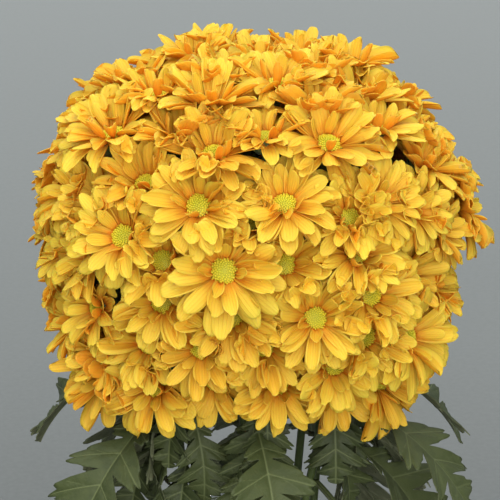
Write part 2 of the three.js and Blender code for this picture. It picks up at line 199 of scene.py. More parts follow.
# The studio: a bowl of pale paper, soft round lights and a camera that looks slightly down on the blooms.
STAGE_SIDES = 96
STAGE_FLAT = 5.4
STAGE_BEND = 1.6
STAGE_BEND_STEPS = 16
STAGE_WALL = 3.4
STAGE_GAP = 0.0004
LIGHTS = [
    {"name": "soft_overhead", "place": (-0.5, -0.8, 2.6), "aim": (0, 0, 0.35), "size": 2.2, "power": 24,
     "colour": (1.0, 0.99, 0.97)},
    {"name": "front_fill", "place": (0.3, -2.3, 1.0), "aim": (0, 0, 0.33), "size": 2.2, "power": 37,
     "colour": (1.0, 0.99, 0.98)},
    {"name": "backdrop_wash", "place": (0.0, 2.2, 2.6), "aim": (0, 2.0, 0.0), "size": 1.2, "power": 22,
     "colour": (1.0, 1.0, 1.0)},
]
SKY_COLOUR = (0.93, 0.96, 0.97, 1)
SKY_STRENGTH = 1.16
CAMERA_ELEVATION = 22
CAMERA_DISTANCE = 2.0
CAMERA_SENSOR = 36
VIEW_WIDTH = 0.287
AIM_FROM_MIDDLE = (-0.005, 0.0, -0.022)


# ---- Mesh helpers ----

class Pieces:
    """Vertices, faces and point values of many small closed shapes that become one piece."""

    def __init__(self):
        self.points = []
        self.faces = {3: [], 4: []}
        self.values = {}
        self.size = 0

    def add(self, points, faces, **values):
        points = np.asarray(points, float).reshape(-1, 3)
        for corners in faces:
            corners = np.asarray(corners, int)
            if len(corners):
                self.faces[corners.shape[1]].append(corners + self.size)
        for name, value in values.items():
            value = np.broadcast_to(np.asarray(value, float).reshape(-1), (len(points),))
            self.values.setdefault(name, []).append(value)
        self.points.append(points)
        self.size += len(points)

    def build(self, name, material, slot, stands_for=()):
        mesh = bpy.data.meshes.new(name)
        points = np.concatenate(self.points)
        loops = []
        starts = []
        begin = 0
        for corners, lists in self.faces.items():
            if not lists:
                continue
            joined = np.concatenate(lists)
            loops.append(joined.reshape(-1))
            starts.append(begin + corners * np.arange(len(joined)))
            begin += corners * len(joined)
        loops = np.concatenate(loops)
        starts = np.concatenate(starts)
        mesh.vertices.add(len(points))
        mesh.vertices.foreach_set("co", points.astype(np.float32).reshape(-1))
        mesh.loops.add(len(loops))
        mesh.loops.foreach_set("vertex_index", loops.astype(np.int32))
        mesh.polygons.add(len(starts))
        mesh.polygons.foreach_set("loop_start", starts.astype(np.int32))
        mesh.update(calc_edges=True)
        mesh.polygons.foreach_set("use_smooth", np.ones(len(starts), bool))
        for value_name, lists in self.values.items():
            layer = mesh.attributes.new(value_name, "FLOAT", "POINT")
            layer.data.foreach_set("value", np.concatenate(lists).astype(np.float32))
        mesh.validate()
        mesh.materials.append(material)
        piece = bpy.data.objects.new(name, mesh)
        bpy.context.scene.collection.objects.link(piece)
        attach(piece, "root")
        if stands_for:
            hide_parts(*stands_for)
        return piece


def thin_sheet(rows, columns):
    """Faces of a closed thin sheet: a grid above, a grid below and a rim round both."""
    across = columns + 1
    below = (rows + 1) * across
    row, column = np.meshgrid(np.arange(rows), np.arange(columns), indexing="ij")
    corner = (row * across + column).reshape(-1)
    top = np.stack([corner, corner + 1, corner + across + 1, corner + across], 1)
    bottom = top[:, ::-1] + below
    edge = [r * across for r in range(rows + 1)]
    edge += [rows * across + c for c in range(1, across)]
    edge += [r * across + columns for r in range(rows - 1, -1, -1)]
    edge += [c for c in range(columns - 1, 0, -1)]
    edge = np.array(edge)
    after = np.roll(edge, -1)
    rim = np.stack([edge, after, after + below, edge + below], 1)
    return [np.concatenate([top, bottom, rim])]


def frame_round(axis):
    """Two unit directions across an axis."""
    side = np.cross(axis, [0.0, 0.0, 1.0])
    if np.linalg.norm(side) < 1e-3:
        side = np.array([1.0, 0.0, 0.0])
    side /= np.linalg.norm(side)
    return side, np.cross(axis, side)


def bands(rings, facets, first=0):
    """Faces between each ring of points and the next."""
    step = np.arange(facets)
    after = (step + 1) % facets
    lows = first + facets * np.arange(rings - 1)
    return np.concatenate([np.stack([low + step, low + after, low + facets + after, low + facets + step], 1)
                           for low in lows])


def turned(profile, facets):
    """Points and faces of a turned closed shape; the profile's first and last points are on the axis."""
    profile = np.asarray(profile, float)
    inner = profile[1:-1]
    angle = 2 * np.pi * np.arange(facets) / facets
    ring = np.stack([np.cos(angle), np.sin(angle)], 1)
    points = [[0, 0, profile[0, 1]]]
    for radius, height in inner:
        points += [[radius * c, radius * s, height] for c, s in ring]
    points.append([0, 0, profile[-1, 1]])
    step = np.arange(facets)
    after = (step + 1) % facets
    last = len(points) - 1
    first = 1 + (len(inner) - 1) * facets
    caps = np.concatenate([
        np.stack([np.zeros(facets, int), 1 + after, 1 + step], 1),
        np.stack([np.full(facets, last), first + step, first + after], 1),
    ])
    return np.array(points), [caps, bands(len(inner), facets, 1)]


def tube(route, radii, facets, ridge=0.0):
    """A closed tube along a route, with a radius at each point and an optional ridged section."""
    route = np.asarray(route, float)
    tangent = np.gradient(route, axis=0)
    tangent /= np.linalg.norm(tangent, axis=1)[:, None]
    side, _ = frame_round(tangent[0])
    angle = 2 * np.pi * np.arange(facets) / facets
    swell = 1 + ridge * np.cos(angle * facets / 2)
    points = []
    for place, way, radius in zip(route, tangent, radii):
        side = side - way * np.dot(side, way)
        side /= np.linalg.norm(side)
        other = np.cross(way, side)
        ring = place + radius * swell[:, None] * (np.cos(angle)[:, None] * side + np.sin(angle)[:, None] * other)
        points.append(ring)
    points.append(route[:1])
    points.append(route[-1:])
    step = np.arange(facets)
    after = (step + 1) % facets
    count = len(route)
    start, end = count * facets, count * facets + 1
    caps = np.concatenate([
        np.stack([np.full(facets, start), after, step], 1),
        np.stack([np.full(facets, end), (count - 1) * facets + step, (count - 1) * facets + after], 1),
    ])
    return np.concatenate(points), [caps, bands(count, facets)]


# ---- What the frame says ----

def cad_mesh(node):
    """A node's corners, with those that coincide made one, and its triangles."""
    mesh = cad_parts[node].data
    places = np.zeros(len(mesh.vertices) * 3)
    mesh.vertices.foreach_get("co", places)
    places = places.reshape(-1, 3)
    _, first, merged = np.unique(np.round(places, 6), axis=0, return_index=True, return_inverse=True)
    mesh.calc_loop_triangles()
    corners = np.zeros(len(mesh.loop_triangles) * 3, int)
    mesh.loop_triangles.foreach_get("vertices", corners)
    triangles = merged.reshape(-1)[corners].reshape(-1, 3)
    return places[first], triangles


def find_blooms(node):
    """Every bloom of a node: the corner at its crown has a flat ring of evenly distant corners below it."""
    places, triangles = cad_mesh(node)
    use = np.bincount(triangles.reshape(-1), minlength=len(places))
    steepness = CROWN_DROP / CROWN_RING
    found = []
    for crown in np.nonzero(use >= CROWN_CORNERS_LEFT)[0]:
        near = np.unique(triangles[(triangles == crown).any(1)])
        near = near[near != crown]
        reach = np.linalg.norm(places[near] - places[crown], axis=1)
        ring = near[reach > 0.995 * reach.max()]
        if len(ring) < CROWN_CORNERS_LEFT:
            continue
        middle = places[ring].mean(0)
        _, spread, ways = np.linalg.svd(places[ring] - middle)
        axis = ways[2] * (1 if np.dot(ways[2], places[crown] - middle) > 0 else -1)
        height = np.dot(places[crown] - middle, axis)
        radius = math.sqrt(reach.max() ** 2 - height ** 2)
        if spread[2] > 0.01 * radius or abs(height / radius - steepness) > 0.05 * steepness:
            continue
        diameter = radius / CROWN_RING
        found.append({"centre": places[crown] - axis * CROWN_HEIGHT * diameter, "axis": axis, "diameter": diameter})
    return found


NODES = sorted(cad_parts)
blooms = []
for node in NODES:
    if node.startswith(("bloom_", "spray_")):
        for bloom in find_blooms(node):
            bloom["node"] = node
            blooms.append(bloom)


def settle_bloom(bloom):
    """Adds the room that a bloom has among its neighbours, how proud of them it stands, and its tone, which is random
    with painted shade added on blooms that stand back.
    """
    others = [other for other in blooms if other is not bloom]
    gaps = [other["centre"] - bloom["centre"] for other in others]
    planes = []
    for gap, other in zip(gaps, others):
        length = np.linalg.norm(gap)
        share = bloom["diameter"] / (bloom["diameter"] + other["diameter"])
        if length * share < bloom["diameter"] * ROOM_SHARED_WITHIN:
            planes.append((gap / length, length * share))
    bloom["ways"] = np.array([way for way, _ in planes]).reshape(-1, 3)
    bloom["rooms"] = np.array([room for _, room in planes])
    near = [gap for gap in gaps if np.linalg.norm(gap) < NEIGHBOURS_WITHIN]
    bloom["proud"] = float(-np.mean([np.dot(gap, bloom["axis"]) for gap in near])) if near else 0.0
    bloom["across"] = frame_round(bloom["axis"])
    # Painted shade: a bloom that stands back from its neighbours gets a more orange tone, and one that stands out
    # gets a yellower one.
    recess_shade = TONE_PER_PROUDNESS * (SHADE_FREE_PROUDNESS - bloom["proud"])
    bloom["tone"] = float(np.clip(random.uniform(*BLOOM_TONE_RANGE) + recess_shade, 0, 1))


for bloom in blooms:
    settle_bloom(bloom)


# ---- Materials ----

def new_material(name):
    """A material, its node tree and its Principled shader."""
    material = bpy.data.materials.new(name)
    material.use_nodes = True
    tree = material.node_tree
    return material, tree, tree.nodes["Principled BSDF"]


def add_node(tree, kind, **settings):
    """A new shader node with its settings."""
    made = tree.nodes.new(kind)
    for name, value in settings.items():
        setattr(made, name, value)
    return made


def value_of(tree, name):
    """A point value of the mesh, as a socket."""
    return add_node(tree, "ShaderNodeAttribute", attribute_name=name).outputs["Fac"]


def calculate(tree, operation, first, second=None, clamp=False):
    """The result of a sum on sockets or numbers, as a socket."""
    made = add_node(tree, "ShaderNodeMath", operation=operation, use_clamp=clamp)
    for socket, value in zip(made.inputs, (first, second)):
        if value is None:
            continue
        if isinstance(value, (int, float)):
            socket.default_value = value
        else:
            tree.links.new(value, socket)
    return made.outputs[0]


def mix_colour(tree, amount, first, second):
    """A colour between two colours, each a socket or three numbers, as a socket."""
    made = add_node(tree, "ShaderNodeMix", data_type="RGBA")
    for socket, value in zip((made.inputs[0], made.inputs[6], made.inputs[7]), (amount, first, second)):
        if isinstance(value, (int, float)):
            socket.default_value = value
        elif isinstance(value, tuple):
            socket.default_value = (*value, 1)
        else:
            tree.links.new(value, socket)
    return made.outputs[2]


def ramp(tree, amount, stops):
    """A colour that runs through the stops as the amount goes from 0 to 1."""
    made = add_node(tree, "ShaderNodeValToRGB")
    tree.links.new(amount, made.inputs[0])
    band = made.color_ramp
    while len(band.elements) < len(stops):
        band.elements.new(0.5)
    for element, (place, colour) in zip(band.elements, stops):
        element.position = place
        element.color = (*colour, 1)
    return made.outputs[0]


def mottle_group():
    """Soft irregular spots over a surface: a mask and a height, used by every plant material."""
    group = bpy.data.node_groups.new("plant mottle", "ShaderNodeTree")
    group.interface.new_socket("Size", in_out="INPUT", socket_type="NodeSocketFloat").default_value = 400
    group.interface.new_socket("Mask", in_out="OUTPUT", socket_type="NodeSocketFloat")
    group.interface.new_socket("Height", in_out="OUTPUT", socket_type="NodeSocketFloat")
    entry = add_node(group, "NodeGroupInput")
    leave = add_node(group, "NodeGroupOutput")
    place = add_node(group, "ShaderNodeTexCoord")
    broad = add_node(group, "ShaderNodeTexNoise")
    fine = add_node(group, "ShaderNodeTexNoise")
    broad.inputs["Detail"].default_value = 3
    fine.inputs["Detail"].default_value = 2
    group.links.new(place.outputs["Object"], broad.inputs["Vector"])
    group.links.new(place.outputs["Object"], fine.inputs["Vector"])
    group.links.new(entry.outputs["Size"], broad.inputs["Scale"])
    group.links.new(calculate(group, "MULTIPLY", entry.outputs["Size"], 4.0), fine.inputs["Scale"])
    spread = add_node(group, "ShaderNodeMapRange")
    spread.inputs["From Min"].default_value = 0.35
    spread.inputs["From Max"].default_value = 0.65
    group.links.new(broad.outputs[0], spread.inputs[0])
    group.links.new(spread.outputs[0], leave.inputs["Mask"])
    group.links.new(fine.outputs[0], leave.inputs["Height"])
    return group


MOTTLE = mottle_group()


def mottle(tree, size):
    """The mask and the height of the plant mottle, at a size of spots."""
    made = add_node(tree, "ShaderNodeGroup", node_tree=MOTTLE)
    made.inputs["Size"].default_value = size
    return made.outputs["Mask"], made.outputs["Height"]


def bump(tree, shader, height, strength, distance):
    """Fine relief on a shader, from a height."""
    made = add_node(tree, "ShaderNodeBump")
    made.inputs["Strength"].default_value = strength
    made.inputs["Distance"].default_value = distance
    tree.links.new(height, made.inputs["Height"])
    tree.links.new(made.outputs[0], shader.inputs["Normal"])


def petal_material():
    """Golden above and orange below, redder at the foot, with fine lengthwise veins and a paler edge. The orange
    lower face is painted shade, the redder foot is partly the petal's own deeper base and partly painted shade deep
    in the bloom, and the tone carries painted shade from recessed blooms.
    """
    material, tree, shader = new_material("golden petal")
    along = value_of(tree, "along")
    across = value_of(tree, "across")
    side = value_of(tree, "side")
    tone = value_of(tree, "tone")
    spots, grain = mottle(tree, 260)
    # Partly painted shade: the upper face is painted redder and darker towards the foot. This is partly the petal's
    # own deeper base and partly the shade deep in the bloom.
    upper = ramp(tree, along, [
        (0.0, (0.84, 0.16, 0.010)),
        (0.14, (0.88, 0.35, 0.022)),
        (0.4, (0.88, 0.535, 0.040)),
        (1.0, (0.87, 0.62, 0.060)),
    ])
    # Painted shade: the lower face is painted orange, standing in for the shade on the petals' undersides.
    body = mix_colour(tree, side, (0.88, 0.34, 0.020), upper)
    # Partly painted shade: the petal's tone, which is partly random and partly its bloom's painted shade, mixes in
    # orange.
    warm = mix_colour(tree, calculate(tree, "MULTIPLY", tone, 0.5), body, (0.87, 0.34, 0.020))
    veins = calculate(tree, "COSINE", calculate(tree, "MULTIPLY", across, 17.0))
    veins = calculate(tree, "POWER", calculate(tree, "MAXIMUM", veins, 0.0), 3.0)
    veins = calculate(tree, "MULTIPLY", veins, 0.45)
    fade = calculate(tree, "SUBTRACT", 1.1, along, clamp=True)
    veined = mix_colour(tree, calculate(tree, "MULTIPLY", veins, fade), warm, (0.76, 0.24, 0.014))
    rim = calculate(tree, "POWER", calculate(tree, "ABSOLUTE", across), 8.0)
    edged = mix_colour(tree, calculate(tree, "MULTIPLY", rim, 0.3), veined, (0.88, 0.62, 0.07))
    spotted = mix_colour(tree, calculate(tree, "MULTIPLY", spots, 0.18), edged, (0.88, 0.60, 0.06))
    tree.links.new(spotted, shader.inputs["Base Color"])
    deep_veins = calculate(tree, "MULTIPLY", veins, -1.6)
    height = calculate(tree, "ADD", deep_veins, calculate(tree, "MULTIPLY", grain, 0.25))
    bump(tree, shader, height, 0.5, 0.0004)
    shader.inputs["Roughness"].default_value = 0.6
    shader.inputs["Specular IOR Level"].default_value = 0.22
    shader.inputs["Subsurface Weight"].default_value = 0.25
    shader.inputs["Subsurface Radius"].default_value = (1.0, 0.45, 0.05)
    shader.inputs["Subsurface Scale"].default_value = 0.0025
    return material


def disc_material():
    """Yellow-green florets, yellower towards the disc's edge."""
    material, tree, shader = new_material("disc florets")
    ring = value_of(tree, "ring")
    tone = value_of(tree, "tone")
    spots, grain = mottle(tree, 500)
    body = ramp(tree, ring, [
        (0.0, (0.66, 0.64, 0.03)),
        (0.45, (0.82, 0.74, 0.03)),
        (0.8, (0.93, 0.76, 0.03)),
        (1.0, (0.93, 0.68, 0.028)),
    ])
    green = mix_colour(tree, calculate(tree, "MULTIPLY", tone, 0.3), body, (0.40, 0.42, 0.02))
    spotted = mix_colour(tree, calculate(tree, "MULTIPLY", spots, 0.2), green, (0.7, 0.66, 0.06))
    tree.links.new(spotted, shader.inputs["Base Color"])
    bump(tree, shader, grain, 0.4, 0.0003)
    shader.inputs["Roughness"].default_value = 0.5
    shader.inputs["Subsurface Weight"].default_value = 0.15
    shader.inputs["Subsurface Radius"].default_value = (0.8, 0.6, 0.05)
    shader.inputs["Subsurface Scale"].default_value = 0.001
    return material


def green_material(name, young, old, size, roughness):
    """Stems, stalks and calyxes: a green that is lighter towards the tips."""
    material, tree, shader = new_material(name)
    along = value_of(tree, "along")
    tone = value_of(tree, "tone")
    spots, grain = mottle(tree, size)
    body = mix_colour(tree, along, old, young)
    toned = mix_colour(tree, calculate(tree, "MULTIPLY", tone, 0.4), body, tuple(0.6 * c for c in old))
    spotted = mix_colour(tree, calculate(tree, "MULTIPLY", spots, 0.35), toned, tuple(1.4 * c for c in young))
    tree.links.new(spotted, shader.inputs["Base Color"])
    bump(tree, shader, grain, 0.5, 0.0004)
    shader.inputs["Roughness"].default_value = roughness
    shader.inputs["Sheen Weight"].default_value = 0.1
    return material


def leaf_material():
    """Dark and matt above, paler below, with pale veins on both faces."""
    material, tree, shader = new_material("lobed leaf")
    side = value_of(tree, "side")
    vein = value_of(tree, "vein")
    branch = value_of(tree, "branch")
    tone = value_of(tree, "tone")
    spots, grain = mottle(tree, 150)
    veins = calculate(tree, "SUBTRACT", 1.0, calculate(tree, "DIVIDE", vein, 0.75), clamp=True)
    branches = calculate(tree, "SUBTRACT", 1.0, calculate(tree, "DIVIDE", branch, 0.55), clamp=True)
    lines = calculate(tree, "MAXIMUM", veins, calculate(tree, "MULTIPLY", branches, 0.55))
    upper = mix_colour(tree, spots, (0.036, 0.050, 0.016), (0.058, 0.074, 0.024))
    upper = mix_colour(tree, calculate(tree, "MULTIPLY", tone, 0.5), upper, (0.085, 0.105, 0.03))
    upper = mix_colour(tree, calculate(tree, "MULTIPLY", lines, 0.75), upper, (0.17, 0.20, 0.08))
    lower = mix_colour(tree, spots, (0.150, 0.165, 0.085), (0.185, 0.195, 0.115))
    lower = mix_colour(tree, calculate(tree, "MULTIPLY", lines, 0.6), lower, (0.27, 0.29, 0.16))
    tree.links.new(mix_colour(tree, side, lower, upper), shader.inputs["Base Color"])
    height = calculate(tree, "ADD", calculate(tree, "MULTIPLY", lines, -0.8), grain)
    bump(tree, shader, height, 0.6, 0.0005)
    shader.inputs["Roughness"].default_value = 0.56
    shader.inputs["Specular IOR Level"].default_value = 0.3
    return material


def clear_material(name, colour, ior, roughness, ripple):
    """Glass or water: clear, with very slight ripples, and it lets light through to what stands behind it."""
    material, tree, shader = new_material(name)
    place = add_node(tree, "ShaderNodeTexCoord")
    wave = add_node(tree, "ShaderNodeTexNoise")
    wave.inputs["Scale"].default_value = 22
    tree.links.new(place.outputs["Object"], wave.inputs["Vector"])
    tint = mix_colour(tree, wave.outputs[0], colour, tuple(min(1.0, 1.02 * c) for c in colour))
    tree.links.new(tint, shader.inputs["Base Color"])
    bump(tree, shader, wave.outputs[0], ripple, 0.001)
    shader.inputs["Roughness"].default_value = roughness
    shader.inputs["IOR"].default_value = ior
    shader.inputs["Transmission Weight"].default_value = 1.0
    path = add_node(tree, "ShaderNodeLightPath")
    through = add_node(tree, "ShaderNodeBsdfTransparent")
    through.inputs["Color"].default_value = (*colour, 1)
    blend = add_node(tree, "ShaderNodeMixShader")
    tree.links.new(path.outputs["Is Shadow Ray"], blend.inputs[0])
    tree.links.new(shader.outputs[0], blend.inputs[1])
    tree.links.new(through.outputs[0], blend.inputs[2])
    tree.links.new(blend.outputs[0], tree.nodes["Material Output"].inputs["Surface"])
    return material


PETAL = petal_material()
DISC = disc_material()
CALYX = green_material("calyx bracts", (0.17, 0.24, 0.055), (0.085, 0.125, 0.03), 400, 0.6)
STEM = green_material("flower stem", (0.115, 0.165, 0.04), (0.085, 0.115, 0.035), 180, 0.55)
LEAF = leaf_material()
GLASS = clear_material("clear glass", (0.965, 0.985, 0.978), 1.5, 0.0, 0.02)
WATER = clear_material("still water", (0.975, 0.985, 0.965), 1.333, 0.0, 0.01)


# ---- Petals ----

PETAL_FACES = thin_sheet(PETAL_LONG_STEPS, PETAL_CROSS_STEPS)
LONG = 1 - (1 - np.linspace(0, 1, PETAL_LONG_STEPS + 1)) ** 1.25
CROSS = np.linspace(-1, 1, PETAL_CROSS_STEPS + 1)


def petal_width(along):
    """A petal's width along it: narrow at its foot, broadest past its middle and rounded at its tip."""
    spread = 0.4 + 0.6 * np.sin(0.5 * np.pi * np.minimum(1, along / 0.6)) ** 0.9
    closing = np.sqrt(1 - 0.66 * (np.maximum(0, along - 0.64) / 0.36) ** 2.6)
    return spread * closing


def arc(along, length, start, end, base, height):
    """Radius and height of a petal's middle line, whose slope turns evenly from start to end."""
    turn = end - start
    turn = np.where(np.abs(turn) < 1e-3, 1e-3, turn)
    slope = start + turn * along
    radius = base + length * (np.sin(slope) - np.sin(start)) / turn
    rise = height + length * (np.cos(start) - np.cos(slope)) / turn
    return radius, rise, slope


def fit_petals(bloom, azimuth, length, start, end, base, height, boldness):
    """The least lift that keeps each petal in the bloom's own share of the room."""
    side, other = bloom["across"]
    lifts = np.radians(PETAL_LIFTS)[None, :, None]
    marks = np.array([0.45, 0.75, 1.0])[None, None, :]
    begin = start[:, None, None] + LIFT_AT_FOOT * lifts
    finish = end[:, None, None] + lifts
    radius, rise, _ = arc(marks, length[:, None, None], begin, finish, base[:, None, None], height[:, None, None])
    ca = np.cos(azimuth)[:, None, None, None]
    sa = np.sin(azimuth)[:, None, None, None]
    way = ca * side + sa * other
    places = radius[..., None] * way + rise[..., None] * bloom["axis"]
    if len(bloom["rooms"]):
        past = np.einsum("plmk,nk->plmn", places, bloom["ways"]) - bloom["rooms"]
        worst = past.max(axis=(2, 3))
    else:
        worst = np.full(places.shape[:2], -1.0)
    fits = worst <= boldness[:, None]
    choice = np.where(fits.any(1), fits.argmax(1), worst.argmin(1))
    return np.radians(PETAL_LIFTS)[choice]


def choose_petals(bloom, row):
    """The sizes, slopes and turns of one row's petals, each an array with a value for every petal."""
    size = bloom["diameter"]
    side, other = bloom["across"]
    count = int(random.integers(row["count"][0], row["count"][1] + 1))
    even = 2 * np.pi * (np.arange(count) + random.uniform(0, 1)) / count
    azimuth = even + random.normal(0, BEARING_SPREAD, count)
    length = size * row["length"] * random.normal(1, LENGTH_SPREAD, count).clip(*LENGTH_LIMITS)
    width = size * row["width"] * random.normal(1, WIDTH_SPREAD, count).clip(*WIDTH_LIMITS)
    start = np.radians(row["start"] + random.normal(0, START_SPREAD, count))
    end = np.radians(row["end"] + random.normal(0, END_SPREAD, count))
    upward = np.cos(azimuth) * side[2] + np.sin(azimuth) * other[2]
    sag = np.radians(row["sag"]) * max(0.0, bloom["axis"][2]) * np.clip(SAG_UNTIL_UPWARD - upward, 0, 1)
    start, end = start - SAG_AT_FOOT * sag, end - sag
    base = size * row["base"] * np.ones(count)
    height = size * (row["height"] + random.normal(0, HEIGHT_SPREAD, count))
    boldness = BOLDNESS + np.abs(random.normal(0, BOLDNESS, count))
    boldness = boldness + BOLDNESS_PER_PROUDNESS * max(0.0, bloom["proud"] - BOLD_FROM_PROUDNESS)
    lift = fit_petals(bloom, azimuth, length, start, end, base, height, boldness)
    return {
        "azimuth": azimuth,
        "length": length,
        "width": width,
        "start": start + LIFT_AT_FOOT * lift,
        "end": end + lift,
        "base": base,
        "height": height,
        "cup": random.normal(CUP_MEAN, CUP_SPREAD, count),
        "groove": random.uniform(*GROOVE_LIMITS, count),
        "twist": random.normal(0, TWIST_SPREAD, count),
        "sway": random.normal(0, SWAY_SPREAD, count),
        "notch": np.where(random.uniform(0, 1, count) < NOTCHED_PETALS, random.uniform(*NOTCH_LIMITS, count), 0),
        "rounding": random.uniform(*TIP_ROUNDING_LIMITS, count),
        "tone": (1 - TONE_FROM_BLOOM) * random.uniform(0, 1, count) + TONE_FROM_BLOOM * bloom["tone"],
    }


def petal_layers(bloom, chosen):
    """The upper and the lower face of every petal of a row, as grids of places round the bloom's centre."""
    petal = {name: value[:, None, None] for name, value in chosen.items()}
    u = LONG[None, :, None]
    v = CROSS[None, None, :]
    tip = petal["rounding"] * np.abs(v) ** 2.7 + petal["notch"] * np.maximum(0, 1 - 2.5 * np.abs(v))
    along = u - u ** 4 * tip
    radius, rise, slope = arc(along, petal["length"], petal["start"], petal["end"], petal["base"], petal["height"])
    half = petal["width"] / 2 * petal_width(u)
    roll = petal["twist"] * u
    ripple = -np.cos(v * 3 * np.pi) * np.minimum(1, 3 * u) * (1 - 0.5 * u)
    hollow = half * (petal["cup"] * (2 * v ** 2 - 0.6) * 2 + petal["groove"] * ripple)
    sideways = half * v * np.cos(roll) - hollow * np.sin(roll) + petal["sway"] * petal["length"] * u ** 2
    outward = half * v * np.sin(roll) + hollow * np.cos(roll)
    cos_azimuth, sin_azimuth = np.cos(petal["azimuth"]), np.sin(petal["azimuth"])
    side, other = bloom["across"]
    layers = []
    for level in (0.5, -0.5):
        offset = outward + level * PETAL_THICKNESS
        r = radius - offset * np.sin(slope)
        z = rise + offset * np.cos(slope)
        x = r * cos_azimuth - sideways * sin_azimuth
        y = r * sin_azimuth + sideways * cos_azimuth
        layers.append(x[..., None] * side + y[..., None] * other + z[..., None] * bloom["axis"])
    return layers


def add_petals(pieces, bloom, row):
    """One row of a bloom's petals, each a thin closed sheet."""
    chosen = choose_petals(bloom, row)
    above, below = petal_layers(bloom, chosen)
    shape = above.shape[1:3]
    along = np.tile(np.broadcast_to(LONG[:, None], shape).reshape(-1), 2)
    across = np.tile(np.broadcast_to(CROSS[None, :], shape).reshape(-1), 2)
    side = np.repeat([1.0, 0.0], shape[0] * shape[1])
    for index, tone in enumerate(chosen["tone"]):
        points = np.concatenate([above[index].reshape(-1, 3), below[index].reshape(-1, 3)])
        pieces.add(bloom["centre"] + points, PETAL_FACES, along=along, across=across, side=side, tone=tone)


# ---- Discs and calyxes ----

def place_in(bloom, points):
    """Points given round a bloom's centre, with its axis up, put where the bloom is."""
    side, other = bloom["across"]
    points = np.asarray(points)
    turned_points = points[:, :1] * side + points[:, 1:2] * other + points[:, 2:] * bloom["axis"]
    return bloom["centre"] + turned_points


def floret_shape():
    """One floret: a small cup with a dimple in its top, one unit in radius."""
    angle = 2 * np.pi * np.arange(FLORET_SIDES) / FLORET_SIDES
    ring = np.stack([np.cos(angle), np.sin(angle)], 1)
    levels = [(0.75, -0.9), (1.0, 0.25), (0.62, 0.75)]
    points = [[r * c, r * s, h] for r, h in levels for c, s in ring]
    points += [[0, 0, -0.9], [0, 0, 0.5]]
    step = np.arange(FLORET_SIDES)
    after = (step + 1) % FLORET_SIDES
    sides = []
    for band in range(len(levels) - 1):
        low = band * FLORET_SIDES
        sides.append(np.stack([low + step, low + after, low + FLORET_SIDES + after, low + FLORET_SIDES + step], 1))
    end = len(levels) * FLORET_SIDES
    top = (len(levels) - 1) * FLORET_SIDES
    caps = np.concatenate([
        np.stack([np.full(FLORET_SIDES, end), after, step], 1),
        np.stack([np.full(FLORET_SIDES, end + 1), top + step, top + after], 1),
    ])
    return np.array(points), [caps, np.concatenate(sides)]


FLORET_POINTS, FLORET_FACES = floret_shape()


def dome_height(size, share):
    """How high a bloom's disc is at a share of its radius."""
    return size * (DISC_FOOT + DISC_HEIGHT * (1 - min(1, share) ** DISC_ROUNDNESS))


def add_disc(pieces, bloom):
    """A bloom's disc: a dome just under the florets, and the florets."""
    size = bloom["diameter"]
    radius = DISC_RADIUS * size
    tone = random.uniform(0, 1)
    dome = [(0, -0.02 * size)]
    for share in (1.02, 1.0, 0.85, 0.6, 0.3, 0):
        dome.append((share * 0.96 * radius, dome_height(size, share) - DOME_BELOW_FLORETS))
    points, faces = turned(dome, DOME_SIDES)
    pieces.add(place_in(bloom, points), faces, ring=0.1, tone=1.0)
    for index in range(DISC_FLORETS):
        share = math.sqrt((index + 0.5) / DISC_FLORETS)
        angle = index * SPIRAL_TURN + random.normal(0, 0.03)
        reach = share * radius
        height = dome_height(size, share)
        spacing = FLORET_FILL * radius / math.sqrt(DISC_FLORETS)
        floret = FLORET_POINTS * spacing * random.uniform(0.88, 1.12)
        floret[:, 2] *= random.uniform(0.9, 1.5)
        lean = 1.2 * DISC_HEIGHT * size * share / radius
        x = floret[:, 0] + floret[:, 2] * lean
        z = floret[:, 2] - floret[:, 0] * lean
        ca, sa = math.cos(angle), math.sin(angle)
        out = reach + x
        placed = np.stack([out * ca - floret[:, 1] * sa, out * sa + floret[:, 1] * ca, height + z], 1)
        pieces.add(place_in(bloom, placed), FLORET_FACES, ring=share, tone=tone * random.uniform(0.4, 1))


def calyx_profile(share):
    """Radius and height of the calyx's cup from its stalk, 0, to its rim, 1, as shares of the bloom's size."""
    angle = 0.5 * np.pi * np.minimum(1.0, share)
    radius = CALYX_RADIUS * np.sin(angle) ** 0.75 + 0.02
    height = CALYX_TIP + 0.02 + 0.19 * (1 - np.cos(angle)) + 0.06 * np.maximum(0, share - 1)
    return radius, height


BRACT_FACES = thin_sheet(BRACT_STEPS, 2)


def add_calyx(pieces, bloom):
    """The cup under a bloom, with its two rows of bracts."""
    size = bloom["diameter"]
    tone = random.uniform(0, 1)
    radius, height = calyx_profile(np.linspace(0, 1, 7))
    outline = [(0, size * CALYX_TIP)] + [(size * r, size * h) for r, h in zip(radius, height)]
    points, faces = turned(outline + [(0, size * DISC_FOOT)], CALYX_SIDES)
    pieces.add(place_in(bloom, points), faces, along=0.2, tone=tone)
    along = np.linspace(0, 1, BRACT_STEPS + 1)
    for row in BRACT_ROWS:
        turn = random.uniform(0, 2 * np.pi)
        for index in range(row["count"]):
            angle = turn + 2 * np.pi * index / row["count"] + random.normal(0, 0.05)
            share = np.linspace(row["low"], row["high"] + random.normal(0, 0.03), BRACT_STEPS + 1)
            radius, height = calyx_profile(share)
            middle = size * radius + row["lift"] + BRACT_LIFT_AT_TIP * along ** 3
            half = size * row["width"] / 2 * np.sqrt(np.clip(1.02 - along ** 2.2, 0, 1))
            points = []
            for level in (0.5, -0.5):
                for out, reach, z in zip(middle + level * BRACT_THICKNESS, half, size * height):
                    for v in (-1, 0, 1):
                        x, y = out - 0.0002 * abs(v), reach * v
                        ca, sa = math.cos(angle), math.sin(angle)
                        points.append([x * ca - y * sa, x * sa + y * ca, z])
            pieces.add(place_in(bloom, points), BRACT_FACES, along=np.tile(np.repeat(along, 3), 2), tone=tone)


# ---- Stems ----

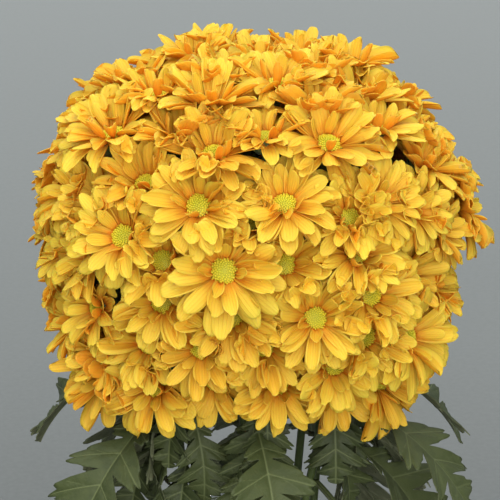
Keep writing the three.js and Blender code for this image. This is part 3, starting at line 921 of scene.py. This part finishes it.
def smooth_route(points, steps):
    """Even steps along a smooth curve through points."""
    points = np.asarray(points, float)
    padded = np.concatenate([[2 * points[0] - points[1]], points, [2 * points[-1] - points[-2]]])
    route = []
    for place in np.linspace(0, len(points) - 1, steps + 1):
        first = min(int(place), len(points) - 2)
        t = place - first
        a, b, c, d = padded[first:first + 4]
        route.append(0.5 * (2 * b + (c - a) * t + (2 * a - 5 * b + 4 * c - d) * t ** 2
                            + (3 * b - a - 3 * c + d) * t ** 3))
    return np.array(route)


def stem_route(node):
    """The stem's middle line: through the middles of its plain rings, and then straight on to its end."""
    places, _ = cad_mesh(node)
    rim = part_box("glass_jar")[1].z
    lowest = min(bloom["centre"][2] for bloom in blooms)
    left = places[places[:, 2] < rim + 0.4 * (lowest - rim)]
    middles = []
    while len(left) >= STEM_FACETS:
        first = left[left[:, 2].argmin()]
        order = np.linalg.norm(left - first, axis=1).argsort()
        middles.append(left[order[:STEM_FACETS]].mean(0))
        left = left[order[STEM_FACETS:]]
    step = middles[-1] - middles[-2]
    while len(middles) < STEM_RINGS:
        middles.append(middles[-1] + step)
    return smooth_route(middles, STEM_STEPS)


def add_stem(pieces, route):
    """A slightly ridged stem, thinner towards its top."""
    along = np.linspace(0, 1, len(route))
    radii = STEM_RADIUS * (1.04 - 0.3 * along + 0.03 * np.sin(23 * along + random.uniform(0, 6)))
    points, faces = tube(route, radii, STEM_SIDES, 0.045)
    around = np.append(np.repeat(along, STEM_SIDES), [0, 1])
    pieces.add(points, faces, along=around, tone=random.uniform(0.2, 0.8))


def stalk_route(route, bloom, rank):
    """A stalk's middle line, from its place on the stem to the bloom's calyx, which it meets straight on."""
    start = route[round((STALKS_START_AT + (1 - STALKS_START_AT) * rank) * (len(route) - 1))]
    tip = bloom["centre"] + bloom["axis"] * CALYX_TIP * bloom["diameter"]
    bend = tip - bloom["axis"] * STALK_BEND * np.linalg.norm(tip - start)
    t = np.linspace(0, 1, STALK_STEPS)[:, None]
    return (1 - t) ** 2 * start + 2 * t * (1 - t) * bend + t ** 2 * tip


def add_stalk(pieces, bracts, route):
    """A stalk that swells under its bloom, with two small narrow leaves."""
    along = np.linspace(0, 1, len(route))
    radii = STALK_RADIUS * (1.1 - 0.35 * along + 0.65 * along ** 6)
    points, faces = tube(route, radii, STALK_SIDES, 0.06)
    tone = random.uniform(0, 1)
    pieces.add(points, faces, along=np.append(np.repeat(along, STALK_SIDES), [0, 1]), tone=tone)
    for share in BRACTS_ALONG_STALK:
        place = route[int(share * (len(route) - 1))]
        way = route[-1] - route[0]
        way /= np.linalg.norm(way)
        side, other = frame_round(way)
        angle = random.uniform(0, 2 * np.pi)
        out = math.cos(angle) * side + math.sin(angle) * other
        add_bract(bracts, place, way, out, random.uniform(*STALK_BRACT_LENGTH), tone)


def add_bract(pieces, place, way, out, length, tone):
    """A small narrow leaf on a stalk, which leans away from it."""
    across = np.cross(way, out)
    along = np.linspace(0, 1, STALK_BRACT_STEPS + 1)
    half = 0.16 * length * np.sin(np.pi * (0.12 + 0.88 * along) ** 0.8) + 0.0002
    lean = 0.5 + 0.8 * along
    points = []
    for level in (0.5, -0.5):
        for u, h, angle in zip(along, half, lean):
            middle = place + length * u * (math.cos(angle) * way + math.sin(angle) * out)
            face = math.sin(angle) * way - math.cos(angle) * out
            for v in (-1, 0, 1):
                rise = level * STALK_BRACT_THICKNESS + 0.25 * h * abs(v)
                points.append(middle + across * h * v + face * rise)
    side = np.repeat([1.0, 0.0], len(points) // 2)
    faces = thin_sheet(STALK_BRACT_STEPS, 2)
    pieces.add(points, faces, side=side, vein=NO_VEIN_NEAR, branch=NO_VEIN_NEAR, tone=tone)


# ---- Leaves ----

def leaf_half_width(place):
    """A blade's half width along it, as a share of its widest: lobes with blunt teeth, and gaps between them."""
    width = np.where(place < 0.86, LEAF_BODY * np.minimum(1, 0.3 + 5 * place), LEAF_BODY)
    for middle, half, reach in LEAF_LOBES:
        lobe = reach * np.sqrt(np.clip(1 - ((place - middle) / half) ** 2, 0, 1))
        width = np.maximum(width, lobe)
    teeth = 1 - LEAF_TOOTH_DEPTH * (1 - np.abs(np.sin(np.pi * LEAF_TEETH * place)))
    return width * teeth * np.sqrt(np.clip((1 - place) / 0.06, 0, 1))


def leaf_frame(node):
    """Where a leaf starts, the ways along it, across it and out of its face, and its bend, length and width."""
    places, _ = cad_mesh(node)
    base = places[np.hypot(places[:, 0], places[:, 1]).argsort()[:4]]
    gaps = base[1:] - base[0]
    order = np.linalg.norm(gaps, axis=1).argsort()
    normal = gaps[order[0]] / np.linalg.norm(gaps[order[0]])
    normal *= 1 if normal[2] > 0 else -1
    across = gaps[order[1]] / np.linalg.norm(gaps[order[1]])
    start = base.mean(0)
    tip = places[np.linalg.norm(places - start, axis=1).argsort()[-2:]].mean(0)
    chord = tip - start
    along = np.cross(across, normal)
    if np.dot(along, chord) < 0:
        along, across = -along, -across
    bend = 2 * math.atan2(-np.dot(chord, normal), np.dot(chord, along))
    length = np.linalg.norm(chord) * (bend / 2) / math.sin(bend / 2)
    half_width = np.abs((places - start) @ across).max()
    return start, along, across, normal, bend, length, half_width


def leaf_rows():
    """Places along a leaf: from -1 to 0 on its stalk and from 0 to 1 on its blade."""
    stalk = np.linspace(0, 1, LEAF_STALK_STEPS, endpoint=False)
    blade = np.linspace(0, 1, LEAF_BLADE_STEPS + 1)
    return np.concatenate([stalk - 1, blade])


LEAF_ROWS = leaf_rows()
LEAF_FACES = thin_sheet(len(LEAF_ROWS) - 1, LEAF_CROSS_STEPS)


def leaf_veins(place, away, blade_length, half_width):
    """How far every point of a blade is from the nearest main vein and the nearest small one, in millimetres."""
    lines = [np.abs(place - middle)[:, None] * blade_length + 0 * away for middle, _, _ in LEAF_LOBES]
    forks = [np.abs(line - FORK_SLOPE * np.maximum(0, away - FORK_START * half_width)) for line in lines]
    return np.minimum(np.min(lines, axis=0), away) * 1000, np.min(forks, axis=0) * 1000


def leaf_relief(place, across_blade, half_width, vein, branch):
    """How far every point of a blade rises from flat: its fold, its hanging sides, its waves and its veins."""
    fold = random.uniform(*LEAF_FOLD_LIMITS)
    wave_turn = random.uniform(0, 2 * np.pi, 2)
    wave = random.uniform(*LEAF_WAVE_LIMITS)
    twist = random.normal(0, LEAF_TWIST_SPREAD)
    hang = random.uniform(*LEAF_HANG_LIMITS)
    away = np.abs(across_blade)
    share = away / half_width
    side_turn = np.where(across_blade > 0, wave_turn[0], wave_turn[1])
    rise = fold * away - hang * share ** 2 * half_width * LEAF_HANG
    rise += wave * share ** 1.5 * np.sin(2 * np.pi * LEAF_WAVES * place[:, None] + side_turn)
    rise += VEIN_DEPTH * np.minimum(1, np.minimum(vein, branch) / VEIN_HALF_WIDTH)
    return rise, twist * place[:, None]


def add_leaf(pieces, start, along, across, normal, bend, length, half_width):
    """A leaf with its stalk, bent evenly along its length, as one thin closed sheet."""
    blade_length = length * (1 - LEAF_STALK_SHARE)
    place = np.maximum(LEAF_ROWS, 0)
    on_stalk = np.clip(-LEAF_ROWS * 6, 0, 1)
    from_base = np.where(LEAF_ROWS < 0, (1 + LEAF_ROWS) * length * LEAF_STALK_SHARE,
                         length * LEAF_STALK_SHARE + place * blade_length)
    reach = np.maximum(half_width * leaf_half_width(place) * (1 - on_stalk), LEAF_STALK_HALF_WIDTH * (1 - place ** 3))
    v = np.linspace(-1, 1, LEAF_CROSS_STEPS + 1)
    v = np.sign(v) * np.abs(v) ** 1.4
    y = reach[:, None] * v[None, :]
    away = np.abs(y)
    sweep = LEAF_SWEEP * np.minimum(1, 2.2 * (1 - place))[:, None] * away
    vein, branch = leaf_veins(place, away, blade_length, half_width)
    rise, turn = leaf_relief(place, y, half_width, vein, branch)
    sideways = y * np.cos(turn) - rise * np.sin(turn)
    outward = y * np.sin(turn) + rise * np.cos(turn)

    angle = bend * from_base / length
    line = start + np.outer(np.sin(angle), along) * length / bend
    line = line - np.outer(1 - np.cos(angle), normal) * length / bend
    forward = np.outer(np.cos(angle), along) - np.outer(np.sin(angle), normal)
    upright = np.outer(np.sin(angle), along) + np.outer(np.cos(angle), normal)
    midrib = np.exp(-(away / MIDRIB_HALF_WIDTH) ** 2) * (1 - place[:, None]) * (LEAF_ROWS >= 0)[:, None]
    thickness = LEAF_THICKNESS + MIDRIB_HEIGHT * midrib
    thickness = thickness + (LEAF_STALK_THICKNESS - LEAF_THICKNESS) * on_stalk[:, None]
    layers = []
    for level in (0.0, -1.0):
        height = outward + level * thickness
        layer = line[:, None, :] + sweep[..., None] * forward[:, None, :]
        layer = layer + sideways[..., None] * across + height[..., None] * upright[:, None, :]
        layers.append(layer.reshape(-1, 3))
    side = np.repeat([1.0, 0.0], len(layers[0]))
    pieces.add(np.concatenate(layers), LEAF_FACES, side=side, vein=np.tile(vein.reshape(-1), 2),
               branch=np.tile(branch.reshape(-1), 2), tone=random.uniform(0, 1))


def make_leaf(node):
    """The leaf that stands for a leaf node."""
    pieces = Pieces()
    add_leaf(pieces, *leaf_frame(node))
    pieces.build(f"{node}_blade", LEAF, "leaf", (node,))


def make_young_leaves(node, route):
    """Short leaves that hang from the upper part of a stem, just under the blooms."""
    pieces = Pieces()
    top = min(bloom["centre"][2] for bloom in blooms) + YOUNG_LEAF_TOP
    for turn, drop in YOUNG_LEAVES:
        place = route[np.abs(route[:, 2] - (top - drop + random.normal(0, YOUNG_LEAF_DROP_SPREAD))).argmin()]
        bearing = math.atan2(place[1], place[0]) + math.radians(turn + random.normal(0, YOUNG_LEAF_TURN_SPREAD))
        slope = math.radians(random.uniform(*YOUNG_LEAF_SLOPE))
        out = np.array([math.cos(bearing), math.sin(bearing), 0.0])
        up = np.array([0.0, 0.0, 1.0])
        along = math.cos(slope) * out - math.sin(slope) * up
        normal = math.sin(slope) * out + math.cos(slope) * up
        length = random.uniform(*YOUNG_LEAF_LENGTH)
        bend = math.radians(random.uniform(*YOUNG_LEAF_BEND))
        add_leaf(pieces, place, along, np.cross(normal, along), normal, bend, length, YOUNG_LEAF_SHAPE * length)
    pieces.build(f"{node}_young_leaves", LEAF, "leaf")


# ---- Jar and water ----

def rounding(centre_radius, centre_height, radius, start, end, steps):
    """An arc of an outline, from one angle to another in degrees."""
    angle = np.radians(np.linspace(start, end, steps + 1))
    return np.stack([centre_radius + radius * np.cos(angle), centre_height + radius * np.sin(angle)], 1)


def make_jar():
    """The jar's glass, as one turned wall. Returns its inner radius and the height of its floor."""
    places, _ = cad_mesh("glass_jar")
    radius = np.hypot(places[:, 0], places[:, 1])
    height = places[:, 2].max()
    outer = radius[places[:, 2] < height / 2].max()
    inner = radius[places[:, 2] > height / 2].min()
    floor = places[(radius < 1e-5) & (places[:, 2] > 1e-5), 2].min()
    rim = radius.max()
    lip = (rim - inner) / 2
    foot, hollow = JAR_FOOT_ROUND, JAR_FLOOR_ROUND
    outline = np.concatenate([
        [[0, 0], [outer - foot - 0.004, 0]],
        rounding(outer - foot, foot, foot, -90, 0, 10),
        [[outer, 0.3 * height], [outer - JAR_WAVER, 0.6 * height], [outer, height - 4.2 * lip]],
        [[outer + 0.12 * lip, height - 2.6 * lip]],
        rounding(inner + lip, height - lip, lip, -20, 180, 14),
        [[inner, height - 3 * lip], [inner + JAR_WAVER, 0.6 * height], [inner, 0.3 * height]],
        rounding(inner - hollow, floor + hollow, hollow, 0, -90, 10),
        [[0, floor - JAR_FLOOR_DISH]],
    ])
    pieces = Pieces()
    points, faces = turned(outline, JAR_SIDES)
    pieces.add(points, faces)
    pieces.build("glass_jar_walls", GLASS, "glass", ("glass_jar",))
    return inner, floor


def make_water(inner, floor):
    """The water, which climbs a little up the glass at its edge."""
    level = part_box("water")[1].z
    edge = inner + WATER_INTO_GLASS
    bottom = floor - JAR_FLOOR_DISH - WATER_INTO_GLASS
    hollow = JAR_FLOOR_ROUND
    outline = np.concatenate([
        [[0, bottom]],
        rounding(edge - hollow, bottom + hollow, hollow, -90, 0, 8),
        [[edge, 0.5 * level], [edge, level + MENISCUS], [edge - 0.5 * MENISCUS, level + 0.5 * MENISCUS]],
        [[edge - 0.002, level + 0.0001], [edge - 0.006, level], [0, level]],
    ])
    pieces = Pieces()
    points, faces = turned(outline, JAR_SIDES)
    pieces.add(points, faces)
    pieces.build("water_fill", WATER, "water", ("water",))


# ---- Build the flowers ----

flower_nodes = [node for node in NODES if node.startswith(("bloom_", "spray_"))]
for node in flower_nodes:
    petals, inner_petals, disc, calyx = Pieces(), Pieces(), Pieces(), Pieces()
    for bloom in [bloom for bloom in blooms if bloom["node"] == node]:
        add_petals(petals, bloom, PETAL_ROWS[0])
        for row in PETAL_ROWS[1:]:
            add_petals(inner_petals if node.startswith("spray_") else petals, bloom, row)
        add_disc(disc, bloom)
        add_calyx(calyx, bloom)
    petals.build(f"{node}_petals", PETAL, "petal", (node,))
    if inner_petals.size:
        inner_petals.build(f"{node}_inner_petals", PETAL, "petal")
    disc.build(f"{node}_disc", DISC, "disc")
    calyx.build(f"{node}_calyx", CALYX, "calyx")

sprays = [node for node in NODES if node.startswith("spray_")]
routes = {node: stem_route(node) for node in sprays}
for bloom in blooms:
    bloom["spray"] = min(sprays, key=lambda node: np.linalg.norm(routes[node][-1] - bloom["centre"]))
for node in sprays:
    stem, bracts = Pieces(), Pieces()
    add_stem(stem, routes[node])
    carried = sorted((bloom for bloom in blooms if bloom["spray"] == node), key=lambda bloom: bloom["centre"][2])
    for order, bloom in enumerate(carried):
        add_stalk(stem, bracts, stalk_route(routes[node], bloom, order / max(1, len(carried) - 1)))
    stem.build(f"{node}_stem", STEM, "stem")
    bracts.build(f"{node}_bracts", LEAF, "leaf")

for node in NODES:
    if node.startswith("leaf_"):
        make_leaf(node)
for node in sprays:
    make_young_leaves(node, routes[node])
make_water(*make_jar())


# ---- Stage, light and camera ----

def add_stage():
    """A pale round floor that curves up into a wall all round, so that every side has the same backdrop. Its paper is
    painted darker towards the middle, as painted shade round the jar.
    """
    line = [(0.02, 0.0), (0.6, 0.0), (1.4, 0.0), (3.0, 0.0), (STAGE_FLAT, 0.0)]
    for angle in np.linspace(0, 0.5 * math.pi, STAGE_BEND_STEPS + 1)[1:]:
        line.append((STAGE_FLAT + STAGE_BEND * math.sin(angle), STAGE_BEND * (1 - math.cos(angle))))
    line.append((STAGE_FLAT + STAGE_BEND, STAGE_WALL))
    turn = 2 * np.pi * np.arange(STAGE_SIDES) / STAGE_SIDES
    points = [(r * math.cos(a), r * math.sin(a), z - STAGE_GAP) for r, z in line for a in turn]
    faces = [tuple(reversed(range(STAGE_SIDES)))]
    for band in range(len(line) - 1):
        for i in range(STAGE_SIDES):
            low, after = band * STAGE_SIDES + i, band * STAGE_SIDES + (i + 1) % STAGE_SIDES
            faces.append((low, low + STAGE_SIDES, after + STAGE_SIDES, after))
    mesh = bpy.data.meshes.new("studio_floor")
    mesh.from_pydata(points, [], faces)
    mesh.polygons.foreach_set("use_smooth", [True] * len(faces))
    material, tree, shader = new_material("pale studio paper")
    _, grain = mottle(tree, 60)
    place = add_node(tree, "ShaderNodeTexCoord")
    reach = add_node(tree, "ShaderNodeVectorMath", operation="LENGTH")
    tree.links.new(place.outputs["Object"], reach.inputs[0])
    # Painted shade: the paper is painted darker towards the middle, where the jar stands.
    shade = ramp(tree, calculate(tree, "MULTIPLY", reach.outputs["Value"], 0.5), [
        (0.1, (0.090, 0.098, 0.096)), (0.35, (0.163, 0.175, 0.172)), (0.8, (0.236, 0.250, 0.247)),
    ])
    tint = mix_colour(tree, calculate(tree, "MULTIPLY", grain, 0.2), shade, (0.30, 0.31, 0.31))
    tree.links.new(tint, shader.inputs["Base Color"])
    shader.inputs["Roughness"].default_value = 0.9
    mesh.materials.append(material)
    stage = bpy.data.objects.new("studio_floor", mesh)
    bpy.context.scene.collection.objects.link(stage)


def look_along(direction):
    """The turn of a light or a camera that looks along a direction."""
    direction = np.asarray(direction, float)
    flat = math.hypot(direction[0], direction[1])
    pitch = math.atan2(flat, -direction[2])
    yaw = math.atan2(direction[1], direction[0]) - math.pi / 2
    return (pitch, 0.0, yaw)


def add_light(name, place, aim, size, power, colour):
    """A soft round light, which the camera doesn't see."""
    light = bpy.data.lights.new(name, "AREA")
    light.shape = "DISK"
    light.size = size
    light.energy = power
    light.color = colour
    lamp = bpy.data.objects.new(name, light)
    bpy.context.scene.collection.objects.link(lamp)
    lamp.location = place
    lamp.visible_camera = False
    lamp.rotation_euler = look_along(np.array(aim) - np.array(place))


def add_sky():
    """Even pale light from all round."""
    world = bpy.data.worlds.new("studio")
    world.use_nodes = True
    background = world.node_tree.nodes["Background"]
    background.inputs["Color"].default_value = SKY_COLOUR
    background.inputs["Strength"].default_value = SKY_STRENGTH
    bpy.context.scene.world = world
    bpy.context.scene.view_settings.view_transform = "Standard"


def add_camera():
    """A camera in front of the blooms, a little above them."""
    centres = np.array([bloom["centre"] for bloom in blooms])
    aim = (centres.min(0) + centres.max(0)) / 2 + np.array(AIM_FROM_MIDDLE)
    elevation = math.radians(CAMERA_ELEVATION)
    camera = bpy.data.cameras.new("studio_camera")
    camera.lens = CAMERA_SENSOR * CAMERA_DISTANCE / VIEW_WIDTH
    camera.sensor_width = CAMERA_SENSOR
    holder = bpy.data.objects.new("studio_camera", camera)
    bpy.context.scene.collection.objects.link(holder)
    holder.location = aim + CAMERA_DISTANCE * np.array([0, -math.cos(elevation), math.sin(elevation)])
    holder.rotation_euler = look_along(aim - np.array(holder.location))
    bpy.context.scene.camera = holder


add_stage()
for light in LIGHTS:
    add_light(**light)
add_sky()
add_camera()
